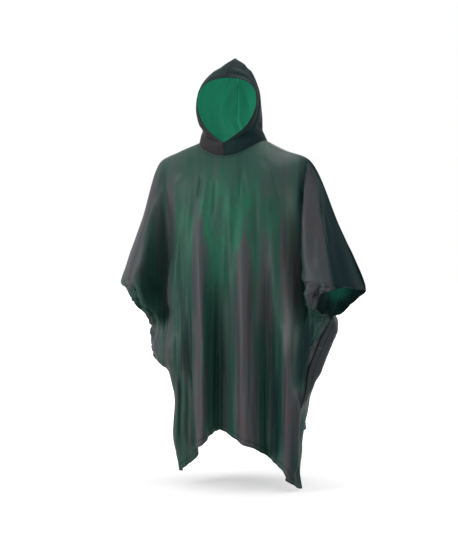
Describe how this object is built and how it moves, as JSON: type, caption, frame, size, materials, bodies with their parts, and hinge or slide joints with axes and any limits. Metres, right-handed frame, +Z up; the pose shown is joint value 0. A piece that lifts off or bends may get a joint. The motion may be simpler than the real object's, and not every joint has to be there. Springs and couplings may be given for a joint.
{
  "type": "hooded rain poncho",
  "caption": "Hooded rain poncho in its worn shape: thin draped front and back panels with deep hanging folds, a pointed hood, and open cuffs held by snap buttons at the sides.",
  "frame": {"origin": "middle of the neck opening at shoulder height, where the wearer's shoulders hold the poncho up", "axes": "+Z up, the wearer faces -Y, +X towards the wearer's left arm"},
  "size_m": [0.835, 0.4077, 1.3687],
  "materials": {
    "panel_cloth": "satin coated rain cloth, dark green outside and bright green inside",
    "hood_cloth": "the same satin coated rain cloth",
    "snap": "satin"
  },
  "bodies": {
    "root": {"front_panel": "panel_cloth", "back_panel": "panel_cloth", "hood_right": "hood_cloth", "hood_left": "hood_cloth", "snap_front_right": "snap", "snap_front_left": "snap", "snap_back_right": "snap", "snap_back_left": "snap"}
  },
  "joints": []
}
